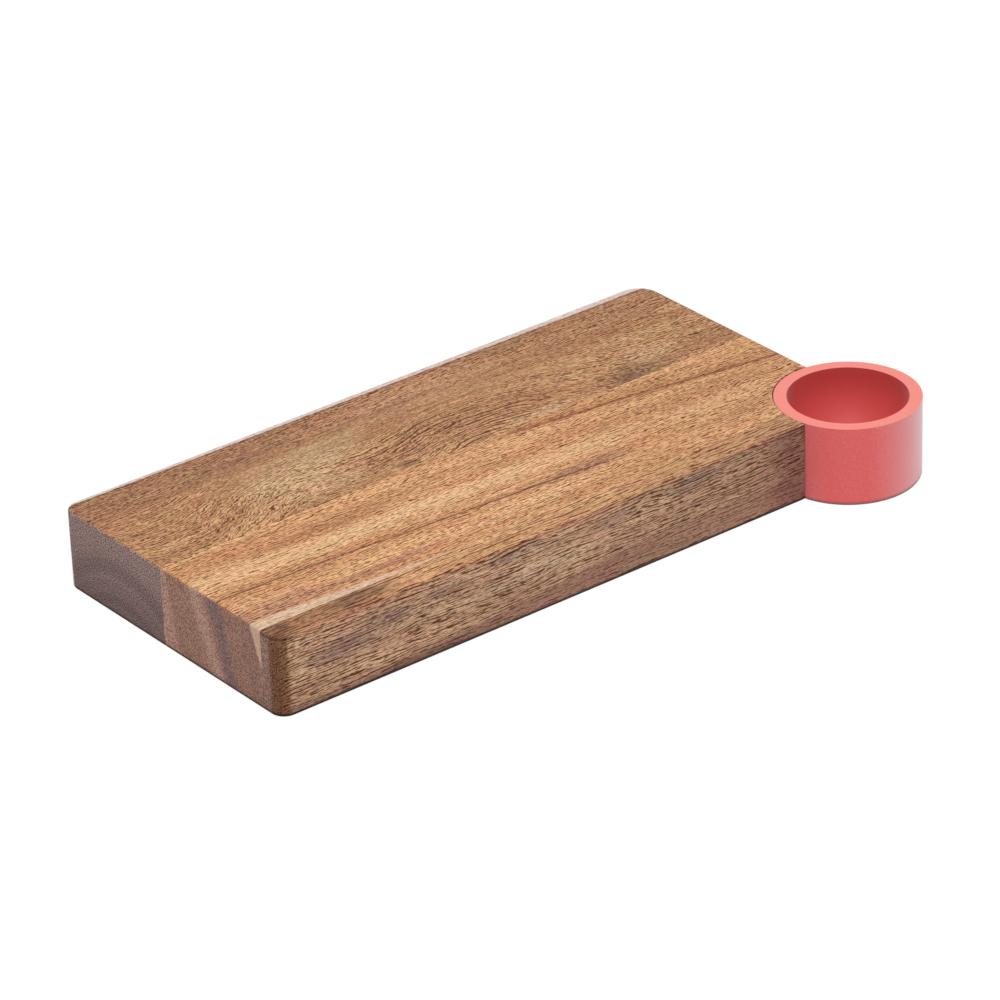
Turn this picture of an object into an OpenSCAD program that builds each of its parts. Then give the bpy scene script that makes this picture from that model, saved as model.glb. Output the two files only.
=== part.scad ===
// Serving board of three hardwood staves glued edge to edge, with a round notch cut out of
// one corner, and a loose dip bowl that stands in the notch.
// Millimetres, +Z up. The origin is the middle of the board's underside. The length runs
// along X, the width along Y, and the notch is at the +X, -Y corner.

/* [Board] */
// Length of the board
board_l = 324; // [240:1:420]
// Thickness of the board
board_t = 38; // [24:0.5:50]
// Width of the stave along the back edge
back_stave_w = 73; // [40:0.5:110]
// Width of the stave in the middle
middle_stave_w = 70; // [40:0.5:110]
// Width of the narrow stave along the front edge
front_stave_w = 12; // [8:0.5:24]

/* [Corners and edges] */
// Plan radius of the back right corner
back_right_r = 11; // [3.5:0.5:20]
// Plan radius of the back left corner
back_left_r = 7.5; // [3.5:0.5:20]
// Plan radius of the front left corner
front_left_r = 7; // [3.5:0.5:20]
// Radius of the eased edges along the top and the underside
edge_r = 1.5; // [0.5:0.1:3]

/* [Dip bowl] */
// Outer diameter of the bowl
bowl_d = 65.8; // [54:0.2:80]
// Thickness of the wall at the rim
bowl_wall = 5.8; // [3:0.1:9]
// Thickness of the floor under the deepest point of the hollow
bowl_floor = 6.5; // [3:0.5:10]
// How far the rim stands below the board's top
rim_drop = 0.3; // [0:0.1:4]
// Radius of the rounded edge around the foot
foot_r = 1.2; // [0.4:0.1:2.5]
// Radius of the small nick in the rim's outer edge
nick_r = 0.8; // [0.4:0.1:1.5]

/* [Notch] */
// Clearance between the bowl and the notch all round
notch_gap = 0.5; // [0.3:0.1:0.9]
// Distance from the bowl's axis to the board's right end
bowl_inset_x = 5.1; // [2:0.1:14]
// Distance from the bowl's axis to the board's front edge
bowl_inset_y = 7.8; // [2:0.1:14]

/* [Hidden] */
$fn = 96;

// Length by which a cutting shape runs past the face that it cuts
overrun = 5;

// Board, seen in plan
board_w = back_stave_w + middle_stave_w + front_stave_w;
half_l = board_l / 2;
half_w = board_w / 2;
back_glue_y = half_w - back_stave_w;
front_glue_y = front_stave_w - half_w;
front_right_r = front_left_r;

// Each corner's side in X, side in Y and plan radius, anticlockwise from the back right one.
// The notch takes the last corner away.
CORNERS = [
    [1, 1, back_right_r],
    [-1, 1, back_left_r],
    [-1, -1, front_left_r],
    [1, -1, front_right_r],
];
LAST = len(CORNERS) - 1;

// Bowl and notch
bowl_h = board_t - rim_drop;
bowl_r = bowl_d / 2;
bowl_x = half_l - bowl_inset_x;
bowl_y = bowl_inset_y - half_w;
notch_r = bowl_r + notch_gap;

// The hollow ends below in part of a ball, with a straight wall above where there is room
hollow_r = bowl_r - bowl_wall;
hollow_depth = bowl_h - bowl_floor;
ball_depth = min(hollow_depth, hollow_r);
ball_r = (hollow_r * hollow_r + ball_depth * ball_depth) / (2 * ball_depth);

// The nick is cut by a ball a little way outside the rim's edge, in this direction from the
// bowl's axis
nick_angle = -109;
nick_offset = nick_r / 4;

// Centre of a corner's arc
function arc_centre(corner) = [
    corner[0] * (half_l - corner[2]),
    corner[1] * (half_w - corner[2]),
];

// Quarter of a disc, in the first quadrant
module quarter_disc(r) {
    intersection() {
        circle(r);
        square(r);
    }
}

// Outline in plan of the board's core, inside the eased edges
module core_outline() {
    difference() {
        square([board_l - 2 * edge_r, board_w - 2 * edge_r], center = true);
        for (corner = CORNERS)
            translate([corner[0] * half_l, corner[1] * half_w])
                square(2 * corner[2], center = true);
    }
    for (corner = CORNERS)
        translate(arc_centre(corner))
            circle(corner[2] - edge_r);
}

// Section of the board's rim, with its outer face at X = reach and its eased edges as quarter
// rounds. It overlaps the board's core by the radius of those edges, where there is room.
module rim_section(reach) {
    inner = max(reach - 2 * edge_r, 0);
    translate([inner, 0])
        square([reach - edge_r - inner, board_t]);
    translate([reach - edge_r, edge_r])
        square([edge_r, board_t - 2 * edge_r]);
    for (top = [0, 1])
        translate([reach - edge_r, top * board_t])
            mirror([0, top, 0])
                translate([0, edge_r])
                    rotate(-90)
                        quarter_disc(edge_r);
}

// Rim along one straight side. Side 0 is the right end, and the rest go round anticlockwise.
module rim_side(i) {
    reach = i % 2 == 0 ? half_l : half_w;
    half_side = i % 2 == 0 ? half_w : half_l;
    near_r = CORNERS[(i + LAST) % (LAST + 1)][2];
    far_r = CORNERS[i][2];
    rotate(90 * i)
        translate([0, half_side - far_r, 0])
            rotate([90, 0, 0])
                linear_extrude(2 * half_side - near_r - far_r)
                    rim_section(reach);
}

// Rim round one corner
module rim_corner(i) {
    translate(arc_centre(CORNERS[i]))
        rotate(90 * i)
            rotate_extrude(angle = 90)
                rim_section(CORNERS[i][2]);
}

// The whole board before the notch is cut: a core, and the rim that overlaps it
module board_blank() {
    linear_extrude(board_t)
        core_outline();
    for (i = [0:LAST]) {
        rim_side(i);
        rim_corner(i);
    }
}

// Part of the board between two glue lines
module stave(y_low, y_high) {
    difference() {
        intersection() {
            board_blank();
            translate([-half_l - overrun, y_low, -overrun])
                cube([board_l + 2 * overrun, y_high - y_low, board_t + 2 * overrun]);
        }
        translate([bowl_x, bowl_y, -overrun])
            cylinder(r = notch_r, h = board_t + 2 * overrun);
    }
}

module back_stave() {
    color([0.62, 0.43, 0.28])
        stave(back_glue_y, half_w + overrun);
}

module middle_stave() {
    color([0.80, 0.57, 0.36])
        stave(front_glue_y, back_glue_y);
}

module front_stave() {
    color([0.56, 0.38, 0.28])
        stave(-half_w - overrun, front_glue_y);
}

// Half section of the bowl's outside
module bowl_outside() {
    translate([0, foot_r])
        square([bowl_r, bowl_h - foot_r]);
    square([bowl_r - foot_r, foot_r]);
    translate([bowl_r - foot_r, foot_r])
        rotate(-90)
            quarter_disc(foot_r);
}

// Half section of the bowl's hollow
module bowl_hollow() {
    ball_top = bowl_h - hollow_depth + ball_depth;
    translate([0, ball_top])
        square([hollow_r, hollow_depth - ball_depth + overrun]);
    intersection() {
        translate([0, bowl_floor + ball_r])
            circle(ball_r);
        square([hollow_r, ball_top]);
    }
}

module dip_bowl() {
    color([0.90, 0.42, 0.41])
        translate([bowl_x, bowl_y, 0])
            difference() {
                rotate_extrude()
                    difference() {
                        bowl_outside();
                        bowl_hollow();
                    }
                rotate(nick_angle)
                    translate([bowl_r + nick_offset, 0, bowl_h + nick_offset])
                        sphere(nick_r);
            }
}

back_stave();
middle_stave();
front_stave();
dip_bowl();
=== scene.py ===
"""Looks of the serving board: three oiled hardwood staves and a coral dip bowl on a white table.

Lengths are millimetres in the materials and metres everywhere else. The board lies with its
length along X and its top facing +Z, and the bowl stands at the +X, -Y corner.
"""
import math

import bpy
from mathutils import Matrix, Vector


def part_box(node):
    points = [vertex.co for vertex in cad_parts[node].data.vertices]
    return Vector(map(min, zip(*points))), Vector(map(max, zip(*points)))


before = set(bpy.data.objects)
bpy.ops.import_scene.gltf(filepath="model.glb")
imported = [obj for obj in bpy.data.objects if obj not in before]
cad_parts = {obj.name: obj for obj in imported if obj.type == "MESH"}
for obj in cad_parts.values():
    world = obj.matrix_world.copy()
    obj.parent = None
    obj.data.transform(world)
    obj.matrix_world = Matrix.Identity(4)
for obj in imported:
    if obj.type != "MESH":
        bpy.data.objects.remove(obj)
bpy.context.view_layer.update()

MM_PER_M = 1000

# Camera, fitted to the photograph: degrees, metres and millimetres of a square sensor
CAMERA_AZIMUTH = -37.8
CAMERA_ELEVATION = 28.24
CAMERA_ROLL = -1.95
CAMERA_DISTANCE = 2.2677
CAMERA_TARGET = Vector((0.0011, -0.0182, 0.0207))
SENSOR_WIDTH = 36.0
FOCAL_LENGTH = 188.7

# Studio: metres and watts. For the camera, an even glow takes the place of this share of the
# table's shading. The sky looks white, and as a light it has this share of that brightness.
TABLE_SIDE = 12.0
TABLE_WHITE = 0.85
TABLE_ROUGHNESS = 0.9
TABLE_GLOW = 1.03
TABLE_GLOW_SHARE = 0.93
SKY_LIGHT = 0.5
LAMP_POWER = 28.0
LAMP_SIDE = 1.4
LAMP_PLACE = Vector((-0.25, -0.45, 1.8))

# Board, in millimetres
LOW, HIGH = [Vector(corner) * MM_PER_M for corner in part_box("back_stave")]
LEFT = LOW.x
TOP = HIGH.z
BACK_GLUE = LOW.y
FRONT_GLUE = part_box("middle_stave")[0][1] * MM_PER_M
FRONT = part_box("front_stave")[0][1] * MM_PER_M

# Bowl, in millimetres
BOWL_WALL = 5.8
BOWL_LOW, BOWL_HIGH = [Vector(corner) * MM_PER_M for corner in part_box("dip_bowl")]
BOWL_AXIS = (BOWL_LOW + BOWL_HIGH) / 2
HOLLOW_RADIUS = (BOWL_HIGH.x - BOWL_LOW.x) / 2 - BOWL_WALL

# Part of a normal along an axis from which a face starts to count as facing that way, and from
# which it counts in full
TURN_START = 0.35
TURN_END = 0.9

# Height in millimetres at which the painted contact shadow along the bottom edges starts, and the
# part of a normal along Z where this painted shadow ends on the underside and where it is full
CONTACT_SHADOW_START = 2.6
UNDERSIDE = -0.95
BESIDE_UNDERSIDE = -0.85

# Places of a mix node's inputs and results, whose names are the same for numbers and for colours
MIX_SHARE = 0
MIX_NUMBERS = (2, 3)
MIX_COLOURS = (6, 7)
MIXED_NUMBER = 0
MIXED_COLOUR = 2


def linear(level):
    """One channel of a screen colour, 0 to 255, as linear light."""
    share = level / 255
    if share <= 0.04045:
        return share / 12.92
    return ((share + 0.055) / 1.055) ** 2.4


def rgb(red, green, blue):
    """A screen colour as the linear colour that nodes take."""
    return (linear(red), linear(green), linear(blue), 1.0)


class Field:
    """A number or a colour that varies over a surface: one output of a material's nodes."""

    def __init__(self, graph, socket):
        self.graph = graph
        self.socket = socket

    def __add__(self, other):
        return self.graph.math("ADD", self, other)

    def __sub__(self, other):
        return self.graph.math("SUBTRACT", self, other)

    def __mul__(self, other):
        return self.graph.math("MULTIPLY", self, other)

    def __truediv__(self, other):
        return self.graph.math("DIVIDE", self, other)

    def __radd__(self, other):
        return self.graph.math("ADD", other, self)

    def __rsub__(self, other):
        return self.graph.math("SUBTRACT", other, self)

    def __rmul__(self, other):
        return self.graph.math("MULTIPLY", other, self)

    def __abs__(self):
        return self.graph.math("ABSOLUTE", self)


class Graph:
    """The nodes of one material, with short calls that add to them. Its x, y and z are the place
    on the piece in millimetres."""

    def __init__(self, name):
        self.material = bpy.data.materials.new(name)
        self.material.use_nodes = True
        self.nodes = self.material.node_tree.nodes
        self.links = self.material.node_tree.links
        self.shader = self.nodes["Principled BSDF"]
        texture = self.nodes.new("ShaderNodeTexCoord")
        self.x, self.y, self.z = [part * MM_PER_M for part in self.split(texture.outputs["Object"])]
        self.normal = self.split(texture.outputs["Normal"])

    def plug(self, socket, value):
        """Links a field to an input, or writes a plain value in it."""
        if isinstance(value, Field):
            self.links.new(value.socket, socket)
        else:
            socket.default_value = value

    def surface(self, values):
        """Sets inputs of the shader, each by its name."""
        for name, value in values.items():
            self.plug(self.shader.inputs[name], value)

    def split(self, socket):
        """The three parts of a place, a direction or a colour."""
        node = self.nodes.new("ShaderNodeSeparateXYZ")
        self.links.new(socket, node.inputs[0])
        return [Field(self, output) for output in node.outputs]

    def math(self, operation, *values):
        """One step of arithmetic, by the name that Blender gives it."""
        node = self.nodes.new("ShaderNodeMath")
        node.operation = operation
        for socket, value in zip(node.inputs, values):
            self.plug(socket, value)
        return Field(self, node.outputs[0])

    def distance(self, across, up):
        """Distance from the point where across and up are both 0."""
        return self.math("SQRT", across * across + up * up)

    def point(self, x, y, z):
        """A place from its three parts."""
        node = self.nodes.new("ShaderNodeCombineXYZ")
        for socket, value in zip(node.inputs, (x, y, z)):
            self.plug(socket, value)
        return Field(self, node.outputs[0])

    def noise(self, point, detail=2.0, roughness=0.5):
        """Smooth noise around 0.5 with waves about one unit long, and finer ones on them."""
        node = self.nodes.new("ShaderNodeTexNoise")
        self.plug(node.inputs["Vector"], point)
        node.inputs["Scale"].default_value = 1.0
        node.inputs["Detail"].default_value = detail
        node.inputs["Roughness"].default_value = roughness
        return Field(self, node.outputs["Fac"])

    def ripple(self, length, width, height, detail=1.0):
        """Smooth noise around 0.5 with waves of these sizes along X, Y and Z."""
        return self.noise(self.point(self.x / length, self.y / width, self.z / height), detail)

    def dots(self, size):
        """Smooth noise around 0.5 with waves of the same size every way, and finer ones on them."""
        return self.ripple(size, size, size, detail=2.0)

    def cells(self, point):
        """Distance to the nearest of a scatter of points about one unit apart, and a random
        number for each of those points."""
        node = self.nodes.new("ShaderNodeTexVoronoi")
        self.plug(node.inputs["Vector"], point)
        node.inputs["Scale"].default_value = 1.0
        colour = self.split(node.outputs["Color"])
        return Field(self, node.outputs["Distance"]), colour[0]

    def smooth(self, value, start, end):
        """0 up to start and 1 from end on, with a smooth ramp between. start may be above end."""
        node = self.nodes.new("ShaderNodeMapRange")
        node.interpolation_type = "SMOOTHSTEP"
        self.plug(node.inputs["Value"], value)
        self.plug(node.inputs["From Min"], start)
        self.plug(node.inputs["From Max"], end)
        return Field(self, node.outputs[0])

    def band(self, value, start, end, edge):
        """1 between start and end, and 0 outside, with ramps as wide as edge."""
        rise = self.smooth(value, start - edge / 2, start + edge / 2)
        fall = self.smooth(value, end + edge / 2, end - edge / 2)
        return rise * fall

    def spot(self, across, up, centre, radii):
        """1 at a place and 0 outside an ellipse round it, with a soft fall between."""
        right = (across - centre[0]) * (1 / radii[0])
        high = (up - centre[1]) * (1 / radii[1])
        return self.smooth(right * right + high * high, 1.0, 0.0)

    def curve(self, value, points):
        """Smooth curve through a few points, each a value and its result."""
        starts = [point[0] for point in points]
        results = [point[1] for point in points]
        low, span = min(starts), max(starts) - min(starts)
        base, height = min(results), max(results) - min(results)
        node = self.nodes.new("ShaderNodeFloatCurve")
        marks = node.mapping.curves[0].points
        while len(marks) < len(points):
            marks.new(0.5, 0.5)
        for mark, (start, result) in zip(marks, sorted(points)):
            mark.location = ((start - low) / span, (result - base) / height)
        node.mapping.update()
        self.plug(node.inputs["Value"], (value - low) * (1 / span))
        return Field(self, node.outputs[0]) * height + base

    def blend(self, start, end, share):
        """Number from start at share 0 to end at share 1."""
        node = self.nodes.new("ShaderNodeMix")
        self.plug(node.inputs[MIX_SHARE], share)
        for place, value in zip(MIX_NUMBERS, (start, end)):
            self.plug(node.inputs[place], value)
        return Field(self, node.outputs[MIXED_NUMBER])

    def mix(self, start, end, share, how="MIX"):
        """Colour from start at share 0 to end at share 1."""
        node = self.nodes.new("ShaderNodeMix")
        node.data_type = "RGBA"
        node.blend_type = how
        self.plug(node.inputs[MIX_SHARE], share)
        for place, value in zip(MIX_COLOURS, (start, end)):
            self.plug(node.inputs[place], value)
        return Field(self, node.outputs[MIXED_COLOUR])

    def patches(self, colour, across, up, spots):
        """A colour with soft patches on it. Each has a centre, two radii, a colour and a share."""
        for centre, radii, hue, share in spots:
            colour = self.mix(colour, hue, self.spot(across, up, centre, radii) * share)
        return colour

    def painted_contact_shadow(self, full_height):
        """Painted contact shadow along the bottom edges: 0 above the height where it starts and 1
        below full_height. The underside has none."""
        low = self.smooth(self.z, CONTACT_SHADOW_START, full_height)
        return low * self.smooth(self.normal[2], UNDERSIDE, BESIDE_UNDERSIDE)

    def facing(self):
        """0 where the surface faces the eye and 1 where it is seen edge on, for a painted sheen."""
        node = self.nodes.new("ShaderNodeLayerWeight")
        node.inputs["Blend"].default_value = 0.5
        return Field(self, node.outputs["Facing"])

    def bump(self, height, strength):
        """Tilts the surface as a height in millimetres says."""
        node = self.nodes.new("ShaderNodeBump")
        node.inputs["Distance"].default_value = 1 / MM_PER_M
        node.inputs["Strength"].default_value = strength
        self.plug(node.inputs["Height"], height)
        self.links.new(node.outputs[0], self.shader.inputs["Normal"])


# What the darkest and the lightest fibres, and the clouds of a wood's colour, do to its red,
# green and blue
DARK_FIBRE = (0.28, 0.13, 0.03, 1.0)
LIGHT_FIBRE = (1.50, 1.84, 2.46, 1.0)
REDDISH = (1.02, 0.96, 0.97, 1.0)
YELLOWISH = (0.98, 1.01, 0.97, 1.0)

# How light a wood is between its dark lines, and on average where it is cut across, from 0 to 1
GROUND = 0.92
CUT_GROUND = 0.55

# Grain lines. WAVER is in spacings of the lines, WAVER_LENGTH in their lengths, and WAVER_WIDTH
# and BREAK_WIDTH in their spacings again. The softness is of their sides and of their ends.
WAVER = 2.2
WAVER_LENGTH = 3
WAVER_WIDTH = 2.5
BREAK_WIDTH = 0.8
LEAN_WITH_DEPTH = 0.8
SIDE_SOFTNESS = 0.4
END_SOFTNESS = 0.09

# Share of a pore's reach over which it is full, and the spread of a cut face's dots
PORE_CORE = 0.4
SPECK_SPREAD = 0.16

# Surface of the oiled wood, with its relief and the height where its painted contact shadow is
# full in millimetres
OIL_ROUGHNESS = 0.5
PORE_ROUGHNESS = 0.2
OIL_GLOSS = 0.15
FIBRE_RELIEF = 0.02
PORE_DEPTH = 0.05
WOOD_RELIEF_SHARE = 0.6
# Colour of the painted contact shadow along the wood's bottom edges
WOOD_CONTACT_SHADOW = rgb(34, 20, 14)
WOOD_CONTACT_SHADOW_HEIGHT = 1.2


class Wood(Graph):
    """The nodes of a wood. Its fibres follow the lines where across and down don't change."""

    def __init__(self, name):
        super().__init__(name)
        self.depth = TOP - self.z
        self.cut = self.smooth(abs(self.normal[0]), TURN_START, TURN_END)
        self.upper = self.smooth(self.normal[2], TURN_START, TURN_END)

    def follow(self, across, down):
        """Sets the two measures that stay the same along a fibre."""
        self.across = across
        self.down = down

    def along(self, length, width, shift=0.0):
        """The place measured in fibres of this length and width."""
        across, down = [part * (1 / width) for part in (self.across, self.down)]
        return self.point((self.x + shift) * (1 / length), across, down)

    def streaks(self, length, width, spread=0.15):
        """Light and dark streaks of this length and width, from 0 to 1. A small spread hardens
        them."""
        return self.smooth(self.noise(self.along(length, width)), 0.5 - spread, 0.5 + spread)

    def fibres(self, length, spacing, thickness, rarity=0.47):
        """Thin lines that start and end: 1 in the middle of a line and 0 between lines.
        thickness is a line's share of the spacing, and a higher rarity breaks more of them."""
        waver = self.noise(self.along(length * WAVER_LENGTH, spacing * WAVER_WIDTH), 1.0) * WAVER
        turns = (self.across + LEAN_WITH_DEPTH * self.down) * (1 / spacing) + waver
        wave = self.math("COSINE", turns * math.tau)
        edge = math.cos(math.pi * thickness)
        line = self.smooth(wave, edge - SIDE_SOFTNESS, edge + SIDE_SOFTNESS)
        presence = self.noise(self.along(length, spacing * BREAK_WIDTH), 1.0)
        return line * self.smooth(presence, rarity - END_SOFTNESS, rarity + END_SOFTNESS)

    def specks(self, size):
        """Light and dark dots for a face cut across the fibres, from 0 to 1."""
        return self.smooth(self.dots(size), 0.5 - SPECK_SPREAD, 0.5 + SPECK_SPREAD)

    def tone(self, streaks, lines, speck_share=0.9, speck_size=0.62):
        """How light each fibre is, from 0 to 1: the ground with streaks on it, less the dark
        lines. On a face cut across the fibres there are dots instead."""
        along = GROUND + streaks - lines
        across = CUT_GROUND + (self.specks(speck_size) - 0.5) * speck_share
        return self.blend(along, across, self.cut)

    def pores(self, length, width, fill, shift=0.0):
        """Open pores: 1 in the middle of a short dash along the grain and 0 between dashes.
        fill is the radius of the largest one as a share of the room that each has."""
        distance, chance = self.cells(self.along(length, width, shift))
        reach = chance * fill
        return self.smooth(distance, reach, reach * PORE_CORE)

    def tint(self, colour, tone):
        """A colour made darker where tone is 0 and lighter where it is 1, with reddish and
        yellowish clouds along the grain."""
        cloud = self.streaks(24, 6, spread=0.12)
        colour = self.mix(colour, self.mix(YELLOWISH, REDDISH, cloud), 1.0, "MULTIPLY")
        return self.mix(colour, self.mix(DARK_FIBRE, LIGHT_FIBRE, tone), 1.0, "MULTIPLY")

    def finish(self, colour, tone, pore):
        """A thin satin oil, with the pores and the fibres in relief and a painted contact shadow.
        """
        self.surface({
            # The base colour darkens along the bottom edges: painted contact shadow
            "Base Color": self.mix(colour, WOOD_CONTACT_SHADOW, self.painted_contact_shadow(WOOD_CONTACT_SHADOW_HEIGHT) * 0.95),
            "Roughness": OIL_ROUGHNESS + PORE_ROUGHNESS * pore,
            "Specular IOR Level": OIL_GLOSS,
        })
        self.bump(FIBRE_RELIEF * tone - PORE_DEPTH * pore, WOOD_RELIEF_SHARE)
        return self.material


# Back stave: how far its grain rises at places along the board, and where its sapwood starts
BACK_RISE = [
    (-162, 3), (-135, 0), (-122, 3), (-110, 8), (-90, 16), (-72, 20), (-45, 18), (-25, 19),
    (12, 26), (30, 25), (52, 20), (80, 10), (100, 5), (130, 0), (162, -2),
]
SAPWOOD_START = [(-162, 74.9), (162, 72.8)]

# Middle of the rings that the back stave's ends show, across the board and in height, and how
# far apart the rings are
PITH_Y = 35
PITH_Z = -30
RING_SPACING = 2.4

# Colours of the back stave
BACK_DARK = rgb(157, 105, 63)
BACK_LIGHT = rgb(173, 124, 77)
BACK_EDGE = rgb(128, 79, 50)
BACK_PORE = rgb(78, 46, 26)
BACK_END_LOW = rgb(104, 78, 68)
BACK_END_HIGH = rgb(152, 119, 101)
BACK_RING = rgb(98, 72, 66)
# The sapwood's top colour is paler than its back-face colour below: painted light on the top
SAPWOOD_WITH_PAINTED_LIGHT = rgb(210, 184, 157)
SAPWOOD_BEHIND = rgb(192, 152, 112)
SAPWOOD_LINE = rgb(112, 72, 50)

# Pale arches, the swirl, knots and dark dashes on the back stave's top: each one's centre and
# radii in X and Y, its colour and its share
BACK_PATCHES = [
    ((-72, 28), (40, 28), rgb(180, 137, 92), 0.7),
    ((-48, 44), (30, 12), rgb(180, 144, 100), 0.4),
    ((10, 23), (44, 18), rgb(144, 98, 64), 0.25),
    ((15, 60), (64, 16), rgb(176, 124, 82), 0.5),
    ((44, 8), (24, 6), rgb(180, 136, 92), 0.7),
    ((104, 9), (26, 14), rgb(108, 72, 44), 0.5),
    ((97, 8), (7, 8), rgb(88, 54, 32), 0.45),
    ((146, 35), (3, 2), rgb(84, 52, 32), 0.6),
    ((152, 20), (16, 2), rgb(104, 66, 42), 0.5),
    ((-80, 60), (34, 3), rgb(122, 76, 52), 0.6),
    ((-8, 57), (50, 2), rgb(132, 84, 58), 0.5),
    ((-28, 9), (7, 4), rgb(112, 66, 46), 0.6),
    ((11, 6), (9, 3), rgb(120, 72, 50), 0.6),
    ((118, 20), (18, 9), rgb(176, 134, 90), 0.6),
]


def back_grain(wood):
    """Grain that climbs steeply on the left, arches over the middle and falls away on the right.
    It is straight along the back edge and crimped on the left."""
    rise = wood.curve(wood.x, BACK_RISE) * wood.smooth(wood.y, 62, 34)
    curl = wood.spot(wood.x, wood.y, (-106, 22), (50, 34))
    crimp = wood.ripple(4, 3, 4) * curl * 3
    wood.follow(wood.y - rise - wood.ripple(16, 7, 8) * 4 - crimp, wood.z)


def back_end(wood):
    """Colour of the back stave's ends: rings, and darker towards the underside."""
    from_pith = wood.distance(wood.y - PITH_Y, wood.z - PITH_Z)
    rings = wood.noise(wood.point(from_pith / RING_SPACING, wood.x / 60, 0.0), roughness=0.6)
    dark_rings = wood.band(from_pith, 50, 57, edge=5) + wood.band(from_pith, 36, 40, edge=3)
    height = wood.smooth(wood.z, 2, 34)
    colour = wood.mix(BACK_END_LOW, BACK_END_HIGH, rings * 0.5 + height * 0.5)
    return wood.mix(colour, BACK_RING, dark_rings * 0.5)


def back_wood():
    """Brown figured wood with a darker swirl in the middle. Pale sapwood runs along the back
    edge. It is made paler on the top as painted light, and is more tan on the back face."""
    wood = Wood("figured brown wood")
    back_grain(wood)
    swirl = wood.spot(wood.x, wood.y, (5, 22), (60, 24))
    from_sapwood = wood.y + 0.1 * wood.depth - wood.curve(wood.x, SAPWOOD_START)
    sapwood = wood.smooth(from_sapwood, 0.0, 0.4)

    fibres = wood.fibres(length=8, spacing=1.8, thickness=0.26)
    thin = wood.fibres(length=4.2, spacing=1.25, thickness=0.3)
    arcs = wood.fibres(length=26, spacing=2.3, thickness=0.22, rarity=0.42)
    fine = wood.streaks(2.0, 0.72, spread=0.13)
    medium = wood.streaks(26, 2.6)
    pore = wood.pores(length=3.0, width=0.9, fill=0.3)

    colour = wood.mix(BACK_DARK, BACK_LIGHT, wood.streaks(90, 9))
    edge = wood.smooth(wood.y, 40, 64) * (0.5 + 0.5 * wood.smooth(wood.x, 60, -120))
    colour = wood.mix(colour, BACK_EDGE, edge * 0.6)
    colour = wood.patches(colour, wood.x, wood.y, BACK_PATCHES)
    colour = wood.mix(colour, back_end(wood), wood.cut)
    colour = wood.mix(colour, SAPWOOD_LINE, wood.band(from_sapwood, -1.0, 0.0, edge=0.6) * 0.6)
    # Painted light: the sapwood is paler on the top than on the back face
    back_face = wood.smooth(wood.normal[1], 0.7, 0.97)
    colour = wood.mix(colour, wood.mix(SAPWOOD_WITH_PAINTED_LIGHT, SAPWOOD_BEHIND, back_face), sapwood * 0.95)

    streaks = (fine - 0.5) * 0.85 + (medium - 0.5) * 0.12
    lines = fibres * (0.6 + 0.4 * swirl) + thin * (1.25 - 0.5 * swirl) + arcs * (0.25 + 1.3 * swirl)
    tone = wood.tone(streaks, lines, speck_share=2.0, speck_size=0.5)
    tone = wood.blend(tone, 0.52, sapwood * 0.8)
    colour = wood.tint(colour, tone)
    colour = wood.mix(colour, BACK_PORE, pore * (1 - sapwood) * 0.4)
    return wood.finish(colour, tone, pore)


# Middle stave: how far its grain drifts at places along the board, and the places across the
# layers of the gold band's edge, the dark line and the red streak
MIDDLE_DRIFT = [(-162, 2), (-60, 0), (30, -2), (110, -9), (162, -13)]
GOLD_EDGE = [(-162, -13.5), (-95, -18), (-60, -20.5), (0, -23), (162, -35)]
DARK_LINE_AT = [(-162, -34.5), (-95, -37.5), (-62, -40), (-12, -43), (55, -48)]
RED_STREAK_AT = [(13, 2.5), (61, -4), (88, -7), (113, -11.5), (160, -19)]

# How far the layers of the middle stave lean for each millimetre of depth, and how much more for
# each millimetre towards the back
LAYER_LEAN = 0.6
LAYER_FAN = 0.0067

# Size of the wedge of sapwood at the front left, in millimetres
WEDGE_LENGTH = 108
WEDGE_DEPTH = 19
WEDGE_WIDTH = 7.3

# Colours of the middle stave
GOLDEN_DARK = rgb(173, 116, 69)
GOLDEN_LIGHT = rgb(189, 134, 84)
GOLD = rgb(196, 148, 97)
LINE_HALO = rgb(146, 88, 60)
DARK_LINE = rgb(88, 40, 20)
RED_STREAK = rgb(132, 74, 40)
GOLDEN_PORE = rgb(104, 54, 24)
GOLDEN_END = rgb(132, 94, 78)
GREY_BAND = rgb(108, 82, 80)
TAN_BAND = rgb(184, 138, 110)
WEDGE_ALONG = rgb(198, 159, 121)
WEDGE_CUT = rgb(203, 155, 119)

# Reddish patches and a pale one on the middle stave: each one's centre and radii in X and across
# the layers, its colour and its share
MIDDLE_PATCHES = [
    ((30, -44), (34, 6), rgb(142, 92, 62), 0.7),
    ((-90, -56), (44, 3), rgb(146, 88, 66), 0.7),
    ((-145, -54), (36, 9), rgb(146, 96, 68), 0.6),
    ((-85, -13), (52, 6), rgb(156, 100, 60), 0.65),
    ((100, -27), (76, 15), rgb(160, 108, 68), 0.3),
    ((125, -50), (50, 12), rgb(160, 110, 70), 0.3),
    ((-10, -55), (50, 5), rgb(200, 150, 102), 0.4),
]


def middle_grain(wood, lean):
    """Grain that drifts towards the front on the right, with more crimp in it there."""
    drift = wood.curve(wood.x, MIDDLE_DRIFT)
    curly = wood.spot(wood.x, wood.y, (105, -28), (70, 18))
    crimp = wood.ripple(4, 3, 4) * (0.4 + 2 * curly)
    wood.follow(lean - drift * 0.6 - wood.ripple(18, 7, 8) * 3 - crimp, wood.z)


def middle_end(wood, lean, colour):
    """Colour of the middle stave's ends: a grey band and two tan ones."""
    end = wood.mix(colour, GOLDEN_END, 0.7)
    end = wood.mix(end, GREY_BAND, wood.band(lean, -37, -27, edge=9) * 0.6)
    by_glue = wood.smooth(BACK_GLUE - wood.y - 0.24 * wood.depth, 5, 0)
    tan_bands = by_glue + wood.band(wood.y + 0.43 * wood.depth, -23, -14, edge=8)
    return wood.mix(end, TAN_BAND, tan_bands * 0.6)


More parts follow.
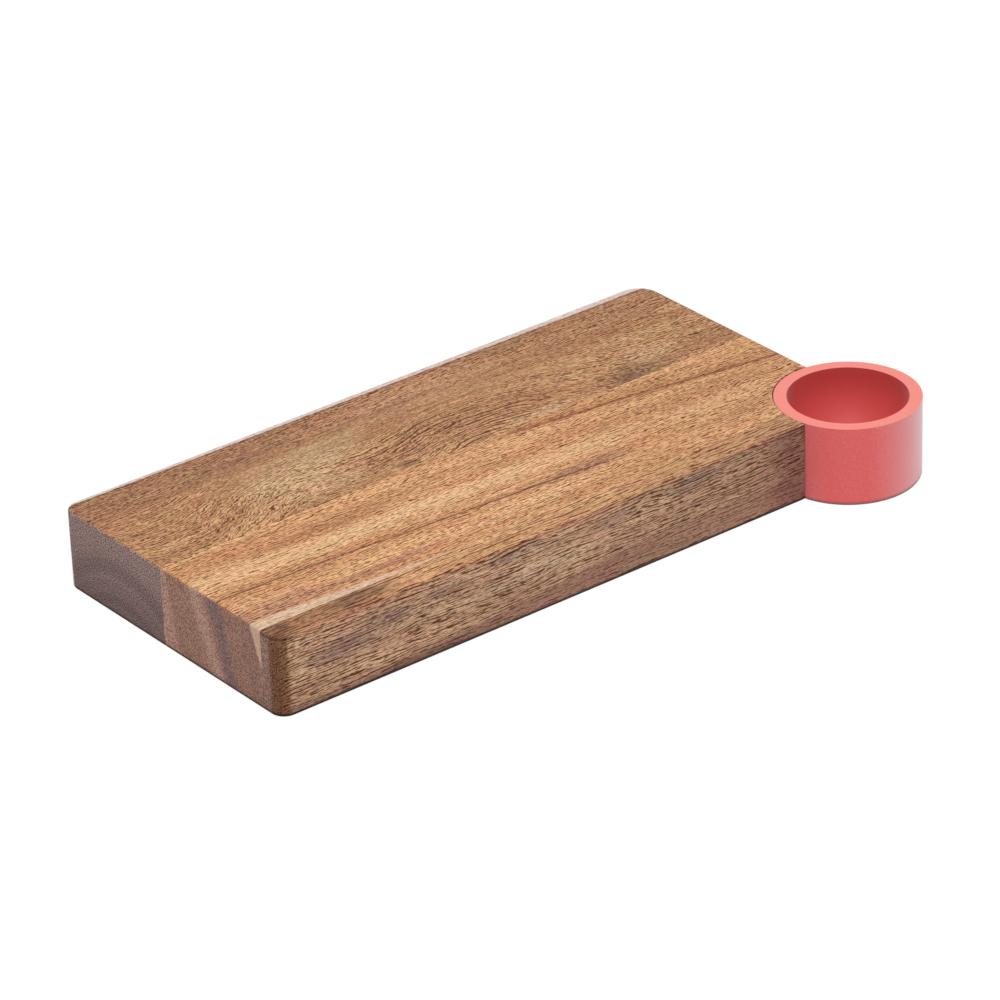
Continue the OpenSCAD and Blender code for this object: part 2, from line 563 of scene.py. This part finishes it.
def middle_wood():
    """Golden wood with long reddish streaks, and a wedge of cream sapwood at the front left."""
    wood = Wood("golden wood")
    lean = wood.y + wood.depth * (LAYER_LEAN + LAYER_FAN * wood.y)
    middle_grain(wood, lean)
    from_gold = lean - wood.curve(wood.x, GOLD_EDGE)
    gold = wood.smooth(from_gold, 1, -2) * wood.smooth(from_gold, -15, -7)
    gold = gold * (1 - 0.6 * wood.smooth(wood.x, 30, 80))
    from_line = lean - wood.curve(wood.x, DARK_LINE_AT)
    line_fade = wood.smooth(wood.x, 62, 20)
    reach = (wood.x - LEFT) * (1 / WEDGE_LENGTH) + wood.depth * (1 / WEDGE_DEPTH)
    reach = reach + (wood.y - FRONT_GLUE) * (1 / WEDGE_WIDTH)
    wedge = wood.smooth(reach, 1.06, 0.94)

    fibres = wood.fibres(length=6, spacing=1.9, thickness=0.24)
    thin = wood.fibres(length=3.6, spacing=1.25, thickness=0.3)
    fine = wood.streaks(2.2, 0.72, spread=0.13)
    medium = wood.streaks(36, 2.6)
    pore = wood.pores(length=3.0, width=0.9, fill=0.3)

    colour = wood.mix(GOLDEN_DARK, GOLDEN_LIGHT, wood.streaks(110, 8))
    colour = wood.mix(colour, GOLD, gold * 0.6)
    halo = wood.band(from_line, -0.6, 2.4, edge=2.4) * line_fade
    colour = wood.mix(colour, LINE_HALO, halo * 0.4)
    from_streak = lean - wood.curve(wood.x, RED_STREAK_AT)
    narrow_red = wood.band(from_streak, -0.7, 1.1, edge=1.2)
    wide_red = wood.band(from_streak, -2.0, 4.0, edge=3.0)
    red = (narrow_red * 0.7 + wide_red * 0.3) * wood.smooth(wood.x, 5, 30)
    colour = wood.mix(colour, RED_STREAK, red)
    colour = wood.patches(colour, wood.x, lean, MIDDLE_PATCHES)
    colour = wood.mix(colour, middle_end(wood, lean, colour), wood.cut)
    colour = wood.mix(colour, wood.mix(WEDGE_ALONG, WEDGE_CUT, wood.cut), wedge * 0.9)

    calm = 1 - 0.3 * gold
    streaks = (fine - 0.5) * 0.7 + (medium - 0.5) * 0.1
    tone = wood.tone(streaks * calm, (fibres * 0.6 + thin * 1.1) * calm, speck_share=0.7)
    tone = wood.blend(tone, 0.58, wedge * 0.65)
    colour = wood.tint(colour, tone)
    line = wood.band(from_line, -0.5, 0.4, edge=0.5) * (0.8 + 0.2 * wood.smooth(wood.x, -40, -10))
    line = line * line_fade * (1 - wedge) * (1 - wood.cut)
    colour = wood.mix(colour, DARK_LINE, line * 0.9)
    colour = wood.mix(colour, GOLDEN_PORE, pore * (1 - wedge) * 0.5)
    return wood.finish(colour, tone, pore)


# Front stave: the height of the border between its lower and its upper wood
LOWER_WOOD_TOP = [(-135, 1.5), (-62, 6.3), (-12, 10.5), (30, 13.8), (125, 13.8)]

# Colours of the front stave
FACE_DARK = rgb(161, 116, 81)
FACE_LIGHT = rgb(180, 134, 94)
FACE_RIGHT = rgb(150, 108, 76)
UPPER_DARK = rgb(168, 116, 71)
UPPER_LIGHT = rgb(184, 132, 83)
UPPER_RIGHT = rgb(156, 106, 66)
UPPER_LEFT = rgb(118, 72, 40)
SMEAR = rgb(84, 50, 32)
CLOUD = rgb(122, 88, 72)
GLEAM = rgb(186, 148, 108)
BELOW_ARRIS = rgb(164, 100, 64)
LOWER_LEFT = rgb(112, 74, 54)
LOWER_RIGHT = rgb(139, 95, 69)
LOW_CORNER = rgb(116, 78, 56)
RIGHT_END = rgb(116, 68, 52)
FRONT_CUT = rgb(128, 92, 76)
BURNT_CORNER = rgb(106, 62, 31)
BURNT_ARRIS = rgb(66, 42, 32)
FRONT_PORE = rgb(62, 32, 22)

# Dark clouds and light gleams on the front face: each one's centre and radii in X and Z, its
# colour and its share
FRONT_PATCHES = [
    ((-128, 23), (26, 7), CLOUD, 0.8),
    ((-75, 29), (16, 4), CLOUD, 0.6),
    ((-45, 33), (12, 3), CLOUD, 0.6),
    ((60, 31), (18, 5), CLOUD, 0.9),
    ((-105, 27), (20, 6), CLOUD, 0.6),
    ((-30, 31), (22, 4), CLOUD, 0.5),
    ((20, 29), (20, 4), CLOUD, 0.5),
    ((-28, 21), (34, 5), GLEAM, 0.6),
    ((-70, 19), (18, 4), GLEAM, 0.5),
]


def front_faces(wood):
    """Colour of the front stave's upper wood, on its face and on its top."""
    face = wood.mix(FACE_DARK, FACE_LIGHT, wood.streaks(50, 8))
    upper = wood.mix(UPPER_DARK, UPPER_LIGHT, wood.streaks(50, 8))
    upper = wood.mix(upper, UPPER_RIGHT, wood.smooth(wood.x, 20, 90) * 0.6)
    colour = wood.mix(face, upper, wood.upper)
    broken = 0.35 + 0.9 * wood.streaks(18, 1.8)
    patches = [(centre, radii, hue, broken * share) for centre, radii, hue, share in FRONT_PATCHES]
    colour = wood.patches(colour, wood.x, wood.z, patches)
    return wood.mix(colour, BELOW_ARRIS, wood.band(wood.z, TOP - 2.2, TOP - 0.6, edge=0.8) * 0.5)


def front_lower(wood, colour, above):
    """A colour with the darker wood along the underside below it."""
    lower = wood.mix(LOWER_LEFT, LOWER_RIGHT, wood.smooth(wood.x, -110, -20))
    colour = wood.mix(lower, colour, above)
    low_left = wood.smooth(wood.z, 8, 2) * wood.smooth(wood.x, -50, -90)
    return wood.mix(colour, LOW_CORNER, low_left * 0.6)


def front_ends(wood, colour):
    """A colour with the front stave's darker ends, smears and burnt corner on it."""
    dark_end = wood.smooth(wood.x, -84, -124) * wood.upper
    colour = wood.mix(colour, UPPER_LEFT, dark_end * 0.65)
    smear = wood.spot(wood.x, wood.y, (-114, -70), (20, 7))
    smear = smear + wood.spot(wood.x, wood.y, (-156, -70), (9, 7))
    smear_lines = wood.noise(wood.point(wood.x / 12, wood.y / 1.6, 0.0))
    smear = smear * wood.upper * wood.smooth(smear_lines, 0.35, 0.6)
    colour = wood.mix(colour, SMEAR, smear * 0.8)
    face_right = wood.smooth(wood.x, 20, 60) * (1 - wood.upper)
    colour = wood.mix(colour, FACE_RIGHT, face_right * 0.35)
    right_end = wood.smooth(wood.x, 92, 118) * (1 - 0.8 * wood.upper)
    colour = wood.mix(colour, RIGHT_END, right_end * 0.8)
    colour = wood.mix(colour, FRONT_CUT, wood.cut * 0.8)
    corner = wood.smooth(wood.x, LEFT + 7, LEFT + 4) * wood.smooth(wood.y, FRONT + 8, FRONT + 5)
    colour = wood.mix(colour, BURNT_CORNER, corner * 0.85)
    arris = wood.band(wood.z, TOP - 1.6, TOP - 0.7, edge=0.6)
    return wood.mix(colour, BURNT_ARRIS, arris * wood.smooth(wood.x, LEFT + 9, LEFT + 6) * 0.75)


def front_wood():
    """Tan wood full of long dark pores, purplish along the underside. Its front left corner is
    burnt dark brown."""
    wood = Wood("long pored wood")
    wood.follow(wood.z - wood.ripple(40, 12, 12) * 4, wood.y)
    above = wood.smooth(wood.z - wood.curve(wood.x, LOWER_WOOD_TOP), -1.5, 1.5)

    fibres = wood.fibres(length=9, spacing=1.5, thickness=0.24, rarity=0.5)
    thin = wood.fibres(length=5, spacing=1.0, thickness=0.24)
    fine = wood.streaks(2.6, 0.55, spread=0.12)
    medium = wood.streaks(26, 2.2)
    long_pore = wood.pores(length=8, width=1.2, fill=0.46)
    short_pore = wood.pores(length=4, width=1.0, fill=0.46, shift=50.0)
    pore = wood.math("MAXIMUM", long_pore, short_pore * 0.7)
    pore = pore * (0.15 + 0.85 * above) * (1 - 0.5 * wood.upper)

    colour = front_faces(wood)
    colour = front_lower(wood, colour, above)
    colour = front_ends(wood, colour)

    streaks = (fine - 0.5) * 0.7 + (medium - 0.5) * 0.14
    lines = (fibres * 2.4 + thin * 1.1) * (0.45 + 0.55 * above) * (1 - 0.25 * wood.upper)
    tone = wood.tone(streaks, lines)
    colour = wood.tint(colour, tone)
    colour = wood.mix(colour, FRONT_PORE, pore * (1 - wood.cut) * 0.9)
    return wood.finish(colour, tone, pore)


# Colours of the bowl. The last four are painted shade in the hollow, a painted highlight on the
# rim, a painted sheen and a painted contact shadow at the foot
CORAL_DARK = rgb(205, 61, 63)
CORAL_LIGHT = rgb(224, 80, 79)
CORAL_HOLLOW_SHADE = rgb(186, 49, 44)
CORAL_RIM_HIGHLIGHT = rgb(227, 121, 106)
CORAL_PAINTED_SHEEN = rgb(232, 208, 212)
CORAL_CONTACT_SHADOW = rgb(80, 30, 30)

# Surface of the bowl, with sizes, the relief and the height where its painted contact shadow is
# full in millimetres
GRAIN_SIZE = 0.8
CLOUD_SIZE = 9
GRAIN_RELIEF = 0.015
GRAIN_RELIEF_SHARE = 0.5
CORAL_CONTACT_SHADOW_HEIGHT = 0.4
CORAL_ROUGHNESS = 0.55
GRAIN_ROUGHNESS = 0.1
HOLLOW_ROUGHNESS = 0.25
CORAL_GLOSS = 0.8
CORAL_SHEEN = 0.15
CORAL_SHEEN_ROUGHNESS = 0.4
CORAL_COAT = 0.5
CORAL_COAT_ROUGHNESS = 0.5


def coral():
    """Matte coral lacquer with a very fine grain. Its colour has painted shade in the hollow, a
    painted highlight on the rim, a painted sheen where the side is seen edge on and a painted
    contact shadow."""
    paint = Graph("matte coral")
    off_axis = paint.distance(paint.x - BOWL_AXIS.x, paint.y - BOWL_AXIS.y)
    level = paint.smooth(paint.normal[2], 0.5, 0.9)
    rim = level * paint.smooth(off_axis, HOLLOW_RADIUS - 0.5, HOLLOW_RADIUS)
    hollow = paint.smooth(off_axis, HOLLOW_RADIUS + 0.6, HOLLOW_RADIUS + 0.2) * (1 - rim)
    # Painted sheen: paler where the side is seen edge on, outside the hollow and off the rim
    painted_sheen = paint.math("MAXIMUM", (paint.facing() - 0.15) * 0.9, 0.0) * (1 - hollow) * (1 - rim)
    grain = paint.smooth(paint.dots(GRAIN_SIZE), 0.3, 0.7)

    colour = paint.mix(CORAL_DARK, CORAL_LIGHT, grain * 0.8 + paint.dots(CLOUD_SIZE) * 0.2)
    # Painted shade: the hollow is darker
    colour = paint.mix(colour, CORAL_HOLLOW_SHADE, hollow * 0.8)
    # Painted highlight: the rim is paler
    colour = paint.mix(colour, CORAL_RIM_HIGHLIGHT, rim * 0.85)
    # Painted sheen on the side
    colour = paint.mix(colour, CORAL_PAINTED_SHEEN, painted_sheen)
    paint.surface({
        # Painted contact shadow darkens the base colour along the foot
        "Base Color": paint.mix(colour, CORAL_CONTACT_SHADOW, paint.painted_contact_shadow(CORAL_CONTACT_SHADOW_HEIGHT) * 0.85),
        "Roughness": CORAL_ROUGHNESS + GRAIN_ROUGHNESS * grain + HOLLOW_ROUGHNESS * hollow,
        "Specular IOR Level": CORAL_GLOSS,
        "Sheen Weight": CORAL_SHEEN,
        "Sheen Roughness": CORAL_SHEEN_ROUGHNESS,
        "Coat Weight": CORAL_COAT,
        "Coat Roughness": CORAL_COAT_ROUGHNESS,
    })
    paint.bump(GRAIN_RELIEF * grain, GRAIN_RELIEF_SHARE)
    return paint.material


def white_table():
    """White for the camera, with part of the object's shadow kept."""
    table = bpy.data.materials.new("white table")
    table.use_nodes = True
    nodes = table.node_tree.nodes
    links = table.node_tree.links
    shader = nodes["Principled BSDF"]
    shader.inputs["Base Color"].default_value = (TABLE_WHITE, TABLE_WHITE, TABLE_WHITE, 1.0)
    shader.inputs["Roughness"].default_value = TABLE_ROUGHNESS
    shader.inputs["Specular IOR Level"].default_value = 0.0
    glow = nodes.new("ShaderNodeEmission")
    glow.inputs["Strength"].default_value = TABLE_GLOW
    path = nodes.new("ShaderNodeLightPath")
    share = nodes.new("ShaderNodeMath")
    share.operation = "MULTIPLY"
    share.inputs[1].default_value = TABLE_GLOW_SHARE
    links.new(path.outputs["Is Camera Ray"], share.inputs[0])
    mix = nodes.new("ShaderNodeMixShader")
    links.new(share.outputs[0], mix.inputs[0])
    links.new(shader.outputs[0], mix.inputs[1])
    links.new(glow.outputs[0], mix.inputs[2])
    links.new(mix.outputs[0], nodes["Material Output"].inputs["Surface"])
    return table


def add_camera():
    """The photograph's camera, rolled about its own line of sight."""
    azimuth = math.radians(CAMERA_AZIMUTH)
    elevation = math.radians(CAMERA_ELEVATION)
    back = Vector((
        math.sin(azimuth) * math.cos(elevation),
        -math.cos(azimuth) * math.cos(elevation),
        math.sin(elevation),
    ))
    right = Vector((0, 0, 1)).cross(back).normalized()
    up = back.cross(right)
    roll = Matrix.Rotation(math.radians(CAMERA_ROLL), 3, back)
    axes = Matrix((roll @ right, roll @ up, back)).transposed()
    data = bpy.data.cameras.new("camera")
    data.sensor_width = SENSOR_WIDTH
    data.lens = FOCAL_LENGTH
    camera = bpy.data.objects.new("camera", data)
    camera.matrix_world = Matrix.LocRotScale(CAMERA_TARGET + back * CAMERA_DISTANCE, axes, None)
    bpy.context.collection.objects.link(camera)
    bpy.context.scene.camera = camera


def add_table():
    """A wide square table with its top at the height of the board's underside."""
    mesh = bpy.data.meshes.new("table")
    half = TABLE_SIDE / 2
    corners = [(-half, -half, 0), (half, -half, 0), (half, half, 0), (-half, half, 0)]
    mesh.from_pydata(corners, [], [(0, 1, 2, 3)])
    mesh.materials.append(white_table())
    table = bpy.data.objects.new("table", mesh)
    bpy.context.collection.objects.link(table)


def add_sky():
    """Even white light from all round, which the camera and reflections see as plain white."""
    world = bpy.data.worlds.new("white room")
    world.use_nodes = True
    nodes = world.node_tree.nodes
    links = world.node_tree.links
    sky = nodes["Background"]
    sky.inputs["Color"].default_value = (1.0, 1.0, 1.0, 1.0)
    path = nodes.new("ShaderNodeLightPath")
    seen = nodes.new("ShaderNodeMath")
    seen.operation = "MAXIMUM"
    links.new(path.outputs["Is Camera Ray"], seen.inputs[0])
    links.new(path.outputs["Is Glossy Ray"], seen.inputs[1])
    level = nodes.new("ShaderNodeMapRange")
    level.inputs["To Min"].default_value = SKY_LIGHT
    level.inputs["To Max"].default_value = 1.0
    links.new(seen.outputs[0], level.inputs["Value"])
    links.new(level.outputs[0], sky.inputs["Strength"])
    bpy.context.scene.world = world


def add_lamp():
    """A wide soft box above the board, on the camera's side."""
    data = bpy.data.lights.new("soft box", "AREA")
    data.size = LAMP_SIDE
    data.energy = LAMP_POWER
    lamp = bpy.data.objects.new("soft box", data)
    lamp.location = LAMP_PLACE
    lamp.rotation_euler = LAMP_PLACE.to_track_quat("Z", "Y").to_euler()
    bpy.context.collection.objects.link(lamp)


def dress(node, material):
    """Gives a piece of the model its material."""
    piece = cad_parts[node]
    if not piece.material_slots:
        piece.data.materials.append(material)
    for slot in piece.material_slots:
        slot.material = material


add_camera()
add_table()
add_sky()
add_lamp()
dress("back_stave", back_wood())
dress("middle_stave", middle_wood())
dress("front_stave", front_wood())
dress("dip_bowl", coral())

bpy.context.scene.view_settings.view_transform = "Standard"
